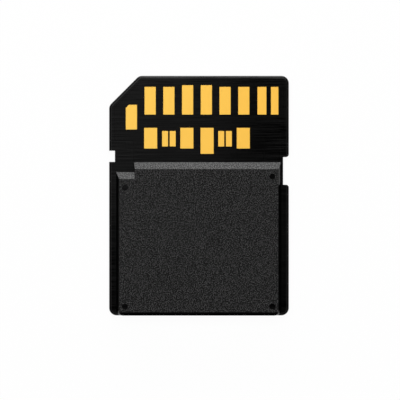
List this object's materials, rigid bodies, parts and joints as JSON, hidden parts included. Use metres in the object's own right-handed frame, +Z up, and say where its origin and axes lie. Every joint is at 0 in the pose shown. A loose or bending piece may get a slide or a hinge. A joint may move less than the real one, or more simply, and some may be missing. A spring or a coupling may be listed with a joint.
{
  "type": "sd memory card",
  "caption": "Flat plastic memory card with a cut corner, edge notches, gold contact rows open on a black board and a raised textured panel; slides into a card slot.",
  "frame": {"origin": "middle of the label face, which the card lies on", "axes": "+Y towards the contact end, the way the card goes in; +Z up out of the contact side"},
  "size_m": [0.024, 0.032, 0.0021],
  "materials": {
    "cover_plastic": "moulded black, polished on the rails and spark-eroded on the raised panel",
    "board_mask": "black solder mask over a glass-epoxy board",
    "contact_gold": "hard gold plating over nickel and copper",
    "chip_resin": "moulded black epoxy",
    "capacitor_ceramic": "fired ceramic with tinned ends",
    "resistor_glaze": "black glaze over ceramic with tinned ends"
  },
  "bodies": {
    "root": {"back_cover": "cover_plastic", "front_cover": "cover_plastic", "circuit_board": "board_mask", "contact_pad_1": "contact_gold", "contact_pad_2": "contact_gold", "contact_pad_3": "contact_gold", "contact_pad_4": "contact_gold", "contact_pad_5": "contact_gold", "contact_pad_6": "contact_gold", "contact_pad_7": "contact_gold", "contact_pad_8": "contact_gold", "contact_pad_9": "contact_gold", "contact_pad_10": "contact_gold", "contact_pad_11": "contact_gold", "contact_pad_12": "contact_gold", "contact_pad_13": "contact_gold", "contact_pad_14": "contact_gold", "contact_pad_15": "contact_gold", "contact_pad_16": "contact_gold", "contact_pad_17": "contact_gold", "controller_chip": "chip_resin", "flash_memory_chip": "chip_resin", "capacitor_1": "capacitor_ceramic", "capacitor_2": "capacitor_ceramic", "capacitor_3": "capacitor_ceramic", "capacitor_4": "capacitor_ceramic", "capacitor_5": "capacitor_ceramic", "capacitor_6": "capacitor_ceramic", "capacitor_7": "capacitor_ceramic", "capacitor_8": "capacitor_ceramic", "resistor_1": "resistor_glaze", "resistor_2": "resistor_glaze", "resistor_3": "resistor_glaze", "resistor_4": "resistor_glaze"}
  },
  "joints": []
}
